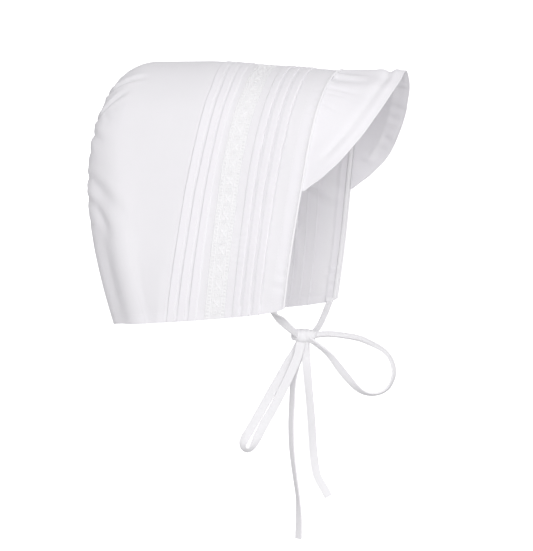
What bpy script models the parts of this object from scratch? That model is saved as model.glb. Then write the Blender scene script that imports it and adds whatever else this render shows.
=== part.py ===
"""A baby bonnet of thin cotton, as it is worn: tucked crown, openwork strip, brim, horseshoe back and tied bow.

Metres, +Z up. The face opening looks along -Y, the wearer's right side is -X, and the origin is where the
head bears under the ridge of the crown.
"""
from math import ceil, cos, pi, radians, sin

import bpy
from mathutils import Quaternion, Vector

# Crown
CHEEK_WIDTH = 0.1196        # outside width at the cheeks, the widest place
FACE_HEIGHT = 0.1383        # ridge to lower edge, measured at the face
RIDGE_RISE = 0.0063         # how far the ridge climbs from the face to the middle of the head
RIDGE_ROUND = 1.1           # above 1 the climb eases off towards the middle of the head
NECK_FALL = 0.0120          # how far the lower edge falls from the face to the back
NECK_ROUND = 0.55           # under 1 most of that fall is near the face
HEAD_SETBACK = 0.0790       # from the face edge of the ridge back to the head seat
FACE_LEAN = 0.0190          # how far the face edge leans forward from its foot to its top
BACK_TURN = 0.0280          # radius of the turn into the back of the head
BACK_SETBACK = 0.0415       # from the head seat back to the start of that turn
NAPE_TUCK = 0.0190          # how far the foot of the back comes in towards the nape
BACK_DOME = 0.0032          # bulge of the back panel
BACK_ANGLE = radians(80)    # how far round the turn the back panel's seam lies

# Cloth
WALL = 0.0012
BRIM_WALL = 0.0016          # two layers
GAP = 0.0003                # clearance between pieces that are sewn together on the real bonnet
PIPING_DIAMETER = 0.0013

# Tucks and openwork strip, measured back from the face edge
TUCK_WIDTH = 0.0036
TUCK_RISE = 0.0009
TUCK_PITCH = 0.0063
TUCK_STEP = 0.08            # the drop past a tuck's fold, as a share of its width
FRONT_TUCKS_START = 0.0147   # to the middle of the first tuck
LACE_START = 0.0370
LACE_WIDTH = 0.0118
BACK_TUCKS_START = 0.0585
TUCKS_IN_GROUP = 3
GATHER_DEPTH = 0.0009       # depth of the gathers along the back panel's seam
GATHER_END = 0.55           # drop share at which they have died out down the sides

# Brim
BRIM_DEPTH = 0.0390         # from the face edge forward to its tip, along the ridge
BRIM_DROP = 0.0708          # how far down the face edge its corners lie
BRIM_CORNER = 0.0018        # depth left at the corners
BRIM_VALLEY = 0.0005        # the outer layer sinks this much just inside the turned edge
BRIM_VALLEY_PLACE = 0.72    # where, as a share of the depth
BRIM_ROWS = 8

# Ties
TIE_WIDTH = 0.0054
TIE_WALL = 0.0011
TIE_SETBACK = 0.0068        # from the face edge back to where a tie is sewn on
TIE_HIDDEN = 0.0080         # length sewn on inside the crown
TIE_SAG = 0.0025            # how far the ties sag between the crown and the knot
KNOT_DROP = 0.0203          # from the lower front corners down to the middle of the knot
KNOT_SETBACK = 0.0047       # from the lower front corners back to the middle of the knot
KNOT_LENGTH = 0.0150
KNOT_HEIGHT = 0.0084
KNOT_DEPTH = 0.0092
KNOT_BLUNT = 0.6            # under 1 its ends are blunter than an egg's
KNOT_SQUARE = 0.8           # under 1 its section is squarer than a circle
BOW_TURN = radians(16.5)    # the bow's loops spread along the head, turned this far from it
REAR_LOOP_REACH = 0.0400
REAR_LOOP_DROP = 0.0680
FRONT_LOOP_REACH = 0.0560
FRONT_LOOP_DROP = 0.0350
FRONT_TAIL_DROP = 0.0965
REAR_TAIL_DROP = 0.1220

# How finely the shells and straps are cut
ARCH_STEPS = 38
BRIM_STEPS = 26
REAR_ROWS = (0.0, 0.35, 0.70, 1.0)
TURN_ROWS = 6
PANEL_ROWS = (0.0, 0.12, 0.28, 0.46, 0.64, 0.80, 0.92)
STRAP_STEP = 0.0036
PIPING_SIDES = 6
CURVE_STEPS = 12
KNOT_RINGS = 8
KNOT_SIDES = 14

# The arch of the face edge, from the ridge down, as shares of the face height and of half the cheek width
ARCH = (
    # drop, half width
    (0.000, 0.000),
    (0.008, 0.165),
    (0.022, 0.285),
    (0.043, 0.395),
    (0.068, 0.490),
    (0.108, 0.602),
    (0.165, 0.712),
    (0.220, 0.780),
    (0.280, 0.830),
    (0.360, 0.874),
    (0.440, 0.900),
    (0.520, 0.924),
    (0.620, 0.958),
    (0.730, 0.990),
    (0.830, 1.000),
    (0.914, 0.997),
    (1.000, 0.985),
)
# The brim's outer edge, from its tip back to a corner, as shares of the corners' drop, of the half width there
# and of the way forward from the corners to the tip
BRIM_EDGE = (
    # drop, half width, forward
    (0.000, 0.000, 1.000),
    (0.022, 0.095, 0.998),
    (0.083, 0.207, 0.987),
    (0.160, 0.344, 0.951),
    (0.250, 0.464, 0.896),
    (0.335, 0.580, 0.843),
    (0.417, 0.673, 0.781),
    (0.490, 0.742, 0.723),
    (0.572, 0.822, 0.649),
    (0.637, 0.890, 0.582),
    (0.702, 0.942, 0.511),
    (0.774, 0.974, 0.419),
    (0.830, 0.988, 0.326),
    (0.890, 0.995, 0.226),
    (0.950, 0.998, 0.100),
    (1.000, 1.000, 0.000),
)
# How far the back comes forward at its top and towards the nape, as shares of the height and of the tuck
NAPE = (
    # drop, tuck
    (0.00, 0.30),
    (0.08, 0.22),
    (0.18, 0.09),
    (0.28, 0.01),
    (0.40, 0.00),
    (0.52, 0.07),
    (0.64, 0.22),
    (0.76, 0.42),
    (0.88, 0.66),
    (1.00, 0.92),
)
# The bow's strands from one end to the other, looking at the bow from the wearer's right. Along and drop are
# shares of the loop's or tail's reach and drop, layer is how many tie walls it lies nearer than the knot's
# middle, and twist is how far the strap turns about its own length, in degrees.
REAR_LOOP = (
    # along, drop, layer, twist
    (-0.13, 0.080, 3.0, 0),
    (-0.25, 0.20, 3.6, 0),
    (-0.40, 0.36, 4.2, 4),
    (-0.60, 0.55, 4.6, 6),
    (-0.80, 0.735, 4.6, 6),
    (-0.93, 0.865, 4.0, 4),
    (-0.99, 0.945, 2.7, 0),
    (-0.945, 0.985, 1.2, -6),
    (-0.84, 0.965, 0.2, -6),
    (-0.71, 0.875, -0.4, -4),
    (-0.52, 0.70, -0.8, 0),
    (-0.335, 0.50, -1.0, 0),
    (-0.185, 0.30, -1.0, 0),
    (-0.06, 0.125, -0.8, 0),
)
FRONT_LOOP = (
    # along, drop, layer, twist
    (0.150, -0.050, -2.2, 34),
    (0.260, -0.055, -2.4, 30),
    (0.400, -0.020, -2.6, 26),
    (0.590, 0.030, -2.4, 20),
    (0.720, 0.130, -2.0, 12),
    (0.850, 0.235, -1.4, 8),
    (0.925, 0.370, -0.8, 18),
    (0.960, 0.520, -0.2, 26),
    (0.960, 0.670, 0.4, 26),
    (0.915, 0.840, 0.9, 20),
    (0.845, 0.935, 1.3, 16),
    (0.750, 0.975, 1.6, 16),
    (0.650, 0.945, 1.9, 20),
    (0.560, 0.850, 2.2, 34),
    (0.480, 0.710, 2.5, 46),
    (0.390, 0.530, 2.7, 50),
    (0.300, 0.330, 2.8, 44),
    (0.215, 0.190, 2.8, 26),
)
FRONT_TAIL = (
    # along, drop, layer, twist
    (0.010, 0.075, 1.2, -14),
    (0.022, 0.160, 1.5, -18),
    (0.033, 0.300, 1.7, -20),
    (0.042, 0.420, 1.8, -18),
    (0.050, 0.540, 1.8, -16),
    (0.057, 0.660, 1.8, -12),
    (0.066, 0.760, 1.7, -8),
    (0.085, 0.860, 1.5, -4),
    (0.128, 0.940, 1.3, -6),
    (0.156, 0.990, 1.2, -8),
)
REAR_TAIL = (
    # along, drop, layer, twist
    (-0.012, 0.070, -3.6, 30),
    (-0.036, 0.150, -4.8, 42),
    (-0.050, 0.230, -5.4, 50),
    (-0.056, 0.330, -5.6, 52),
    (-0.060, 0.430, -5.6, 50),
    (-0.058, 0.530, -5.4, 46),
    (-0.050, 0.620, -5.2, 40),
    (-0.038, 0.710, -5.2, 34),
    (-0.026, 0.800, -5.4, 30),
    (-0.022, 0.900, -5.6, 36),
    (-0.024, 1.000, -5.8, 44),
)
# Each strand starts, and a loop ends, inside the knot. Along and drop are shares of the knot's length and height.
IN_KNOT = {
    # strand: ((along, drop, layer) at its start, the same at its end)
    "loop_rear": ((-0.14, 0.10, 2.2), (0.06, 0.10, -0.6)),
    "loop_front": ((0.22, -0.05, -1.8), (0.22, 0.12, 2.2)),
    "tail_front": ((0.04, 0.10, 0.9), None),
    "tail_rear": ((-0.05, 0.10, -2.8), None),
}
# A tie from the lower front corner to the knot
STRAP = (
    # share of the way, sag, twist
    (0.00, 0.00, 4),
    (0.12, 0.70, 26),
    (0.30, 0.95, 60),
    (0.55, 1.00, 80),
    (0.80, 0.50, 86),
    (1.00, 0.00, 90),
)
STRAP_IN_KNOT = (0.30, 0.08)  # aside and up from the knot's middle, as shares of its depth and height
REAR_LOOP_SLOPE = radians(30)  # the rear loop's fall from upright, which its width lies square to
SHARP_ANGLE = radians(35)
WHITE = (0.86, 0.86, 0.87)
LACE_WHITE = (0.90, 0.90, 0.89)

HALF_WIDTH = CHEEK_WIDTH / 2
FACE_TOP = -HEAD_SETBACK
NECK_FACE_Z = WALL - RIDGE_RISE - FACE_HEIGHT
LAST_TUCK = BACK_TUCKS_START + TUCKS_IN_GROUP * TUCK_PITCH


def smooth(rows, x, column=1):
    """Reads one column of a table at x, on a smooth curve through its rows."""
    last = len(rows) - 1
    i = 0
    while i < last - 1 and x > rows[i + 1][0]:
        i += 1
    x0, x1 = rows[i][0], rows[i + 1][0]
    y0, y1 = rows[i][column], rows[i + 1][column]
    before = rows[max(i - 1, 0)]
    after = rows[min(i + 2, last)]
    slope0 = (y1 - before[column]) / (x1 - before[0])
    slope1 = (after[column] - y0) / (after[0] - x0)
    s = min(max((x - x0) / (x1 - x0), 0.0), 1.0)
    span = x1 - x0
    return (y0 * (1 + 2 * s) * (1 - s) ** 2 + slope0 * span * s * (1 - s) ** 2
            + y1 * s * s * (3 - 2 * s) - slope1 * span * s * s * (1 - s))


def through(points, steps):
    """A smooth curve through points, with a number of steps between each two."""
    curve = []
    for i in range(len(points) - 1):
        a, b, c, d = (points[min(max(k, 0), len(points) - 1)] for k in (i - 1, i, i + 1, i + 2))
        for step in range(steps):
            s = step / steps
            curve.append(0.5 * (2 * b + (c - a) * s + (2 * a - 5 * b + 4 * c - d) * s ** 2
                                + (3 * b - 3 * c + d - a) * s ** 3))
    curve.append(points[-1])
    return curve


def evenly(curve, count):
    """The same curve cut into a number of equal lengths."""
    lengths = [0.0]
    for a, b in zip(curve, curve[1:]):
        lengths.append(lengths[-1] + (b - a).length)
    points = []
    i = 0
    for k in range(count + 1):
        target = lengths[-1] * k / count
        while i < len(curve) - 2 and lengths[i + 1] < target:
            i += 1
        share = (target - lengths[i]) / max(lengths[i + 1] - lengths[i], 1e-9)
        points.append(curve[i].lerp(curve[i + 1], min(max(share, 0.0), 1.0)))
    return points


def arch_stations():
    """The face arch from the right lower edge over the ridge to the left one, as (width, drop) shares."""
    right = [Vector((-width * HALF_WIDTH, drop * FACE_HEIGHT)) for drop, width in reversed(ARCH)]
    left = [Vector((-p.x, p.y)) for p in reversed(right[:-1])]
    arch = evenly(through(right + left, CURVE_STEPS), ARCH_STEPS)
    return [(p.x / HALF_WIDTH, p.y / FACE_HEIGHT) for p in arch]


def ridge_z(y):
    """Height of the ridge's outside at a place along the head."""
    share = min(max((y - FACE_TOP) / HEAD_SETBACK, 0.0), 1.0)
    return WALL - RIDGE_RISE * (1 - share) ** RIDGE_ROUND


def neck_z(y):
    """Height of the lower edge at a place along the head."""
    face_foot = FACE_TOP + FACE_LEAN
    back_foot = BACK_SETBACK + BACK_TURN - NAPE_TUCK
    share = min(max((y - face_foot) / (back_foot - face_foot), 0.0), 1.0)
    return NECK_FACE_Z - NECK_FALL * share ** NECK_ROUND


def face_y(drop):
    """Where the face edge lies at a drop share."""
    return FACE_TOP + FACE_LEAN * drop


def back_y(drop):
    """Where the turn into the back starts at a drop share."""
    return BACK_SETBACK - NAPE_TUCK * smooth(NAPE, drop)


def at(width, drop, y, inset=0.0):
    """A point of the crown's outside, drawn in by inset all round the arch, y being read at the ridge."""
    top = ridge_z(min(y, BACK_SETBACK)) - inset
    foot = neck_z(y)
    return Vector((width * (HALF_WIDTH - inset), y, top + (foot - top) * drop))


def barrel(back):
    """The stretch with parallel lines, at a distance back from the face edge. Negative is the brim's side."""
    def point(width, drop):
        return at(width, drop, face_y(drop) + back)
    return point


def rear(share):
    """The plain stretch behind the last tuck, from 0 there to 1 where the turn starts."""
    def point(width, drop):
        start = face_y(drop) + LAST_TUCK
        return at(width, drop, start + (back_y(drop) - start) * share)
    return point


def turn(angle):
    """The turn into the back of the head."""
    def point(width, drop):
        inset = BACK_TURN * (1 - cos(angle))
        return at(width, drop, back_y(drop) + BACK_TURN * sin(angle), inset)
    return point


def panel(share):
    """The back panel, from 0 at its seam to 1 at the middle of its lower edge."""
    def point(width, drop):
        inset = BACK_TURN * (1 - cos(BACK_ANGLE)) + GAP
        rim = at(width, drop, back_y(drop) + BACK_TURN * sin(BACK_ANGLE), inset)
        middle_drop = drop * (1 - share) + share
        top = WALL - inset
        foot = neck_z(rim.y)
        y = back_y(middle_drop) + BACK_TURN * sin(BACK_ANGLE) + BACK_DOME * (1 - (1 - share) ** 2)
        return Vector((rim.x * (1 - share), y, top + (foot - top) * middle_drop))
    return point


def tuck_rows(start, points_back):
    """Rows of a group of tucks: each rises towards its fold and drops off sharply past it."""
    rows = []
    for k in range(TUCKS_IN_GROUP):
        near = start + k * TUCK_PITCH
        far = near + TUCK_WIDTH
        low, high = (near, far) if points_back else (far, near)
        step = TUCK_WIDTH * TUCK_STEP * (1 if points_back else -1)
        pair = [(barrel(low), 0.0), (barrel(high - step), TUCK_RISE), (barrel(high), 0.0)]
        rows += pair if points_back else pair[::-1]
    return rows


def shell(name, rows, arch, wall, colour, before=None, after=None, lifts=None, filled=False):
    """A closed wall over the arch. Each row is a surface and how far its outside is raised there.

    The surfaces before and after are the neighbours' next rows, so that facing ends are parallel. A filled
    shell has its last row closed from side to side.
    """
    grid = [[surface(width, drop) for width, drop in arch] for surface, lift in rows]
    last_row, last_column = len(grid) - 1, len(arch) - 1
    ahead = [before(width, drop) for width, drop in arch] if before else grid[0]
    behind = [after(width, drop) for width, drop in arch] if after else grid[-1]
    padded = [ahead] + grid + [behind]
    outer, inner = [], []
    for i, line in enumerate(grid):
        raised, backed = [], []
        for j, point in enumerate(line):
            along = padded[i + 2][j] - padded[i][j]
            across = line[min(j + 1, last_column)] - line[max(j - 1, 0)]
            normal = across.cross(along).normalized()
            lift = rows[i][1] + (lifts(i, j) if lifts else 0.0)
            raised.append(point + normal * lift)
            backed.append(point - normal * wall)
        outer.append(raised)
        inner.append(backed)
    vertices = [p for line in outer + inner for p in line]
    columns = len(arch)
    under = len(grid) * columns
    faces = []
    for i in range(last_row):
        for j in range(last_column):
            a = i * columns + j
            faces.append((a, a + 1, a + columns + 1, a + columns))
            faces.append((under + a, under + a + columns, under + a + columns + 1, under + a + 1))
        for a, b in ((i * columns, (i + 1) * columns), ((i + 1) * columns - 1, (i + 2) * columns - 1)):
            quad = (a, b, under + b, under + a)
            faces.append(quad if a == i * columns else quad[::-1])
    faces += [(j, under + j, under + j + 1, j + 1) for j in range(last_column)]
    end = last_row * columns
    if filled:
        for j in range(columns // 2):
            across = (end + j, end + j + 1, end + last_column - j - 1, end + last_column - j)
            faces.append(tuple(dict.fromkeys(across)))
            faces.append(tuple(dict.fromkeys(under + a for a in reversed(across))))
        faces.append((end, end + last_column, under + end + last_column, under + end))
    else:
        faces += [(a, a + 1, under + a + 1, under + a) for a in range(end, end + last_column)]
    return add(name, vertices, faces, colour)


def add(name, vertices, faces, colour):
    mesh = bpy.data.meshes.new(name)
    mesh.from_pydata([tuple(v) for v in vertices], [], faces)
    mesh.validate()
    mesh.shade_smooth()
    mesh.set_sharp_from_angle(angle=SHARP_ANGLE)
    mesh.materials.append(cloth(name, colour))
    piece = bpy.data.objects.new(name, mesh)
    bpy.context.collection.objects.link(piece)
    return piece


def cloth(name, colour):
    material = bpy.data.materials.new(name + "_cloth")
    material.use_nodes = True
    shader = material.node_tree.nodes["Principled BSDF"]
    shader.inputs["Base Color"].default_value = (*colour, 1.0)
    shader.inputs["Roughness"].default_value = 0.85
    shader.inputs["Metallic"].default_value = 0.0
    return material


def clear_scene():
    for old in list(bpy.data.objects):
        bpy.data.objects.remove(old, do_unlink=True)


def make_crown(arch):
    """The front band, the openwork strip and the rear cloth, in the order of their place on the head."""
    edge = PIPING_DIAMETER / 2 + GAP
    front = [(barrel(edge), 0.0), (barrel(FRONT_TUCKS_START / 2), 0.0)]
    front += tuck_rows(FRONT_TUCKS_START - TUCK_WIDTH / 2, False)
    front.append((barrel(LACE_START), 0.0))
    shell("front_band", front, arch, WALL, WHITE)

    lace_end = LACE_START + LACE_WIDTH
    lace = [(barrel(LACE_START + GAP), 0.0), (barrel((LACE_START + lace_end) / 2), 0.0),
            (barrel(lace_end - GAP), 0.0)]
    shell("lace_insertion", lace, arch, WALL, LACE_WHITE)

    back = [(barrel(lace_end), 0.0)] + tuck_rows(BACK_TUCKS_START - TUCK_WIDTH / 2, True)
    back += [(rear(share), 0.0) for share in REAR_ROWS]
    back += [(turn(BACK_ANGLE * k / TURN_ROWS), 0.0) for k in range(1, TURN_ROWS + 1)]

    def gathers(i, j):
        """Gathers that fade out forwards from the back panel's seam, over the top of the arch."""
        reach = max(0, i - (len(back) - 1 - TURN_ROWS)) / TURN_ROWS
        over_the_top = max(0.0, 1 - (arch[j][1] / GATHER_END) ** 2)
        return -GATHER_DEPTH * (j % 2) * reach ** 2 * over_the_top
    shell("crown_rear", back, arch, WALL, WHITE, after=panel(PANEL_ROWS[1]), lifts=gathers)


def make_back(arch):
    rows = [(panel(share), 0.0) for share in PANEL_ROWS]
    last_turn = turn(BACK_ANGLE * (TURN_ROWS - 1) / TURN_ROWS)
    shell("back_panel", rows, arch, WALL, WHITE, before=last_turn, filled=True)


def brim_stations():
    """Even stations along the brim, each as its place on the face edge and on the outer edge."""
    corner = BRIM_DROP / FACE_HEIGHT
    corner_width = smooth(ARCH, corner) * HALF_WIDTH
    corner_y = face_y(corner) - BRIM_CORNER
    tip_y = FACE_TOP - BRIM_DEPTH
    root, edge = [], []
    for drop, width in reversed(ARCH):
        if drop < corner:
            root.append(Vector((-width * HALF_WIDTH, face_y(drop), ridge_z(FACE_TOP) - drop * FACE_HEIGHT)))
    root.insert(0, Vector((-corner_width, face_y(corner), ridge_z(FACE_TOP) - BRIM_DROP)))
    for drop, width, forward in reversed(BRIM_EDGE):
        edge.append(Vector((-width * corner_width, corner_y + (tip_y - corner_y) * forward,
                            ridge_z(FACE_TOP) - drop * BRIM_DROP)))
    lines = []
    for half in (root, edge):
        whole = half + [Vector((-p.x, p.y, p.z)) for p in reversed(half[:-1])]
        lines.append(evenly(through(whole, CURVE_STEPS), BRIM_STEPS))
    return list(zip(*lines))


def make_brim():
    """The brim, ruled from the face edge out to its own edge, with the piping's room left at the seam."""
    seam = PIPING_DIAMETER / 2 + GAP

    def row(share):
        def point(root, edge):
            start = root + (edge - root).normalized() * seam
            return start.lerp(edge, share)
        return point
    rows = []
    for k in range(BRIM_ROWS):
        share = 1 - k / (BRIM_ROWS - 1)
        rows.append((row(share), -BRIM_VALLEY * max(0.0, 1 - abs(share - BRIM_VALLEY_PLACE) * BRIM_ROWS)))
    shell("brim", rows, brim_stations(), BRIM_WALL, WHITE)


def make_piping(arch):
    """A thin round cord along the face edge, in the middle of the walls' thickness."""
    line = []
    for width, drop in arch:
        point = barrel(0.0)(width, drop)
        inward = Vector((-point.x, 0.0, NECK_FACE_Z / 2 - point.z)).normalized()
        line.append(point + inward * WALL / 2)
    tube("piping", line, PIPING_DIAMETER / 2, WHITE)


def tube(name, line, radius, colour):
    sides = PIPING_SIDES
    vertices, faces = [], []
    for i, point in enumerate(line):
        along = (line[min(i + 1, len(line) - 1)] - line[max(i - 1, 0)]).normalized()
        side = along.cross(Vector((0, 1, 0))).normalized()
        other = along.cross(side)
        for k in range(sides):
            angle = 2 * pi * k / sides
            vertices.append(point + (side * cos(angle) + other * sin(angle)) * radius)
    for i in range(len(line) - 1):
        for k in range(sides):
            a, b = i * sides + k, i * sides + (k + 1) % sides
            faces.append((a, b, b + sides, a + sides))
    faces.append(tuple(range(sides - 1, -1, -1)))
    faces.append(tuple(range((len(line) - 1) * sides, len(line) * sides)))
    return add(name, vertices, faces, colour)


def ribbon(name, points, twists, across):
    """A flat strap along a smooth curve. Its width lies along across, twisted by the given degrees."""
    curve = through(points, CURVE_STEPS)
    angles = through([Vector((twist, 0.0, 0.0)) for twist in twists], CURVE_STEPS)
    joined = [Vector((*p, a.x)) for p, a in zip(curve, angles)]
    length = sum((b - a).length for a, b in zip(curve, curve[1:]))
    count = ceil(length / STRAP_STEP)
    spaced = []
    walked, target = 0.0, 0.0
    for a, b in zip(joined, joined[1:]):
        step = (b.xyz - a.xyz).length
        while target <= walked + step + 1e-9 and len(spaced) <= count:
            spaced.append(a.lerp(b, min((target - walked) / step, 1.0)))
            target += length / count
        walked += step
    vertices, faces = [], []
    last = len(spaced) - 1
    for i, station in enumerate(spaced):
        along = (spaced[min(i + 1, last)].xyz - spaced[max(i - 1, 0)].xyz).normalized()
        side = (across - along * across.dot(along)).normalized()
        side = Quaternion(along, radians(station.w)) @ side
        face = side.cross(along)
        for edge, skin in ((-1, -1), (1, -1), (1, 1), (-1, 1)):
            vertices.append(station.xyz + side * edge * TIE_WIDTH / 2 + face * skin * TIE_WALL / 2)
    for i in range(last):
        for k in range(4):
            a, b = i * 4 + k, i * 4 + (k + 1) % 4
            faces.append((a, a + 4, b + 4, b))
    faces.append((0, 1, 2, 3))
    faces.append(tuple(range(last * 4 + 3, last * 4 - 1, -1)))
    return add(name, vertices, faces, WHITE)


def bow_frame():
    """The knot's middle, and the directions along the bow, down it and out of it."""
    middle = Vector((0.0, FACE_TOP + FACE_LEAN + KNOT_SETBACK, NECK_FACE_Z - KNOT_DROP))
    along = Vector((sin(BOW_TURN), -cos(BOW_TURN), 0.0))
    down = Vector((0.0, 0.0, -1.0))
    out = Vector((-cos(BOW_TURN), -sin(BOW_TURN), 0.0))
    return middle, along, down, out


def strand(name, rows, reach, drop, across):
    """One strand of the bow, out of the knot and, for a loop, back into it."""
    middle, along, down, out = bow_frame()
    start, end = IN_KNOT[name]

    def place(a, d, layer):
        return middle + along * a + down * d + out * layer * TIE_WALL

    def in_knot(a, d, layer):
        return place(a * KNOT_LENGTH, d * KNOT_HEIGHT, layer)
    points = [in_knot(*start)]
    points += [place(row[0] * reach, row[1] * drop, row[2]) for row in rows]
    points += [in_knot(*end)] if end else []
    twists = [row[3] for row in rows]
    twists = [twists[0]] + twists + ([twists[-1]] if end else [])
    return ribbon(name, points, twists, across)


def knot_lump(name, clearance=0.0):
    """A rounded lump with its long side along the bow, grown by the clearance all round."""
    middle, along, down, out = bow_frame()
    length, height, depth = (size + 2 * clearance for size in (KNOT_LENGTH, KNOT_HEIGHT, KNOT_DEPTH))
    vertices, faces = [], []
    for i in range(1, KNOT_RINGS):
        angle = pi * i / KNOT_RINGS
        across = -cos(angle)
        size = sin(angle) ** KNOT_BLUNT
        for k in range(KNOT_SIDES):
            around = 2 * pi * k / KNOT_SIDES
            up, forth = cos(around), sin(around)
            up = abs(up) ** KNOT_SQUARE * (1 if up > 0 else -1)
            forth = abs(forth) ** KNOT_SQUARE * (1 if forth > 0 else -1)
            vertices.append(middle + along * across * length / 2
                            + down * up * size * height / 2 + out * forth * size * depth / 2)
    rings = KNOT_RINGS - 1
    for i in range(rings - 1):
        for k in range(KNOT_SIDES):
            a, b = i * KNOT_SIDES + k, i * KNOT_SIDES + (k + 1) % KNOT_SIDES
            faces.append((a, a + KNOT_SIDES, b + KNOT_SIDES, b))
    faces.append(tuple(range(KNOT_SIDES)))
    faces.append(tuple(range(rings * KNOT_SIDES - 1, (rings - 1) * KNOT_SIDES - 1, -1)))
    return add(name, vertices, faces, WHITE)


def sewn_on(side, above):
    """Middle of a tie on the inside of the crown's wall, a distance above the lower edge."""
    drop = 1 - above / FACE_HEIGHT
    y = face_y(drop) + TIE_SETBACK
    wall = at(side * smooth(ARCH, drop), drop, y)
    inward = WALL + GAP * 2 + TIE_WALL / 2
    return wall - Vector((side * inward, 0.0, 0.0))


def trim(strap, cutter):
    """Cuts away what a strap has inside the knot."""
    cut = strap.modifiers.new("knot", "BOOLEAN")
    cut.operation = "DIFFERENCE"
    cut.object = cutter


def make_ties():
    """The two straps from the lower front corners to the knot, and the bow, all trimmed to the knot."""
    middle, along, down, out = bow_frame()
    knot_lump("bow_knot")
    cutter = knot_lump("knot_clearance", GAP)
    cutter.hide_render = True
    cutter.display_type = "WIRE"
    for name, side in (("strap_right", -1), ("strap_left", 1)):
        aside, up = STRAP_IN_KNOT
        end = middle + Vector((side * KNOT_DEPTH * aside, 0.0, KNOT_HEIGHT * up))
        foot = sewn_on(side, 0.0)
        points = [sewn_on(side, TIE_HIDDEN), sewn_on(side, TIE_HIDDEN / 2)]
        points += [foot.lerp(end, share) + down * sag * TIE_SAG for share, sag, twist in STRAP]
        twists = [0, 0] + [side * twist for share, sag, twist in STRAP]
        trim(ribbon(name, points, twists, Vector((0.0, -1.0, 0.0))), cutter)

    loop_across = along * cos(REAR_LOOP_SLOPE) + down * sin(REAR_LOOP_SLOPE)
    strands = (
        # name, rows, reach, drop, across
        ("loop_rear", REAR_LOOP, REAR_LOOP_REACH, REAR_LOOP_DROP, loop_across),
        ("loop_front", FRONT_LOOP, FRONT_LOOP_REACH, FRONT_LOOP_DROP, out),
        ("tail_front", FRONT_TAIL, FRONT_TAIL_DROP, FRONT_TAIL_DROP, along),
        ("tail_rear", REAR_TAIL, REAR_TAIL_DROP, REAR_TAIL_DROP, along),
    )
    for name, rows, reach, drop, across in strands:
        trim(strand(name, rows, reach, drop, across), cutter)


def main():
    clear_scene()
    arch = arch_stations()
    make_crown(arch)
    make_back(arch)
    make_brim()
    make_piping(arch)
    make_ties()


main()
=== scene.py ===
"""The looks of the baby bonnet: thin white cotton with real tucks, an openwork strip, a shaped brim and a tied bow.

Metres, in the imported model's frame: the face opening looks along -Y and the wearer's right side is -X.
"""

from math import ceil, cos, pi, radians, sin

import bpy
import numpy as np
from mathutils import Matrix, Quaternion, Vector


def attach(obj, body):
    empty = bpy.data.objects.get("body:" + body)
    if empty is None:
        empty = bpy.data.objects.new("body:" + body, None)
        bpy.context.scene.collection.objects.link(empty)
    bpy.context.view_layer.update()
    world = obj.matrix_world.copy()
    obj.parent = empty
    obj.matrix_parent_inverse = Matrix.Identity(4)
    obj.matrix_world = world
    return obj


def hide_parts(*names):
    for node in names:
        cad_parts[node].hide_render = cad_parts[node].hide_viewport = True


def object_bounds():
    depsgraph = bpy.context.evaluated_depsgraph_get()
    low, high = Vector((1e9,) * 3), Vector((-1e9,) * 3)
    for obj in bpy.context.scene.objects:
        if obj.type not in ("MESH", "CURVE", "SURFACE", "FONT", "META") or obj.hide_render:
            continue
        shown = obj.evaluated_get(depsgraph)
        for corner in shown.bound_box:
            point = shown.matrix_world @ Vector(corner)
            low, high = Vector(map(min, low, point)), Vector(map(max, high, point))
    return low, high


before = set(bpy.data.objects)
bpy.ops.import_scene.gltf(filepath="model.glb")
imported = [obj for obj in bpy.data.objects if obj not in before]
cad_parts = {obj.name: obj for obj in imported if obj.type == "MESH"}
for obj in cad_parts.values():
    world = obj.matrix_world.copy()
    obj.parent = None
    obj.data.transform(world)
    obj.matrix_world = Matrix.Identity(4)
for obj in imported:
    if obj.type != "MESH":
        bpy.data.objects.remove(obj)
CAD_LOW, CAD_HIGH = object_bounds()

# Crown, the same sizes as in the part's source
CHEEK_WIDTH = 0.1196
FACE_HEIGHT = 0.1383
RIDGE_RISE = 0.0063
RIDGE_ROUND = 1.1
NECK_FALL = 0.0120
NECK_ROUND = 0.55
HEAD_SETBACK = 0.0790
FACE_LEAN = 0.0190
BACK_TURN = 0.0280
BACK_SETBACK = 0.0415
NAPE_TUCK = 0.0190
BACK_DOME = 0.0032
BACK_ANGLE = radians(80)
WALL = 0.0012
GAP = 0.0003
PIPING_DIAMETER = 0.0013
TUCK_WIDTH = 0.0036
TUCK_PITCH = 0.0063
FRONT_TUCKS_START = 0.0147
LACE_START = 0.0370
LACE_WIDTH = 0.0118
BACK_TUCKS_START = 0.0585
TUCKS_IN_GROUP = 3
BRIM_DEPTH = 0.0390
BRIM_DROP = 0.0708
BRIM_CORNER = 0.0018
TIE_WIDTH = 0.0054
TIE_WALL = 0.0011
TIE_SETBACK = 0.0068
TIE_HIDDEN = 0.0080
TIE_SAG = 0.0025
KNOT_DROP = 0.0203
KNOT_SETBACK = 0.0047
KNOT_LENGTH = 0.0150
KNOT_HEIGHT = 0.0084
KNOT_DEPTH = 0.0092
BOW_TURN = radians(16.5)
CURVE_STEPS = 12

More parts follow.
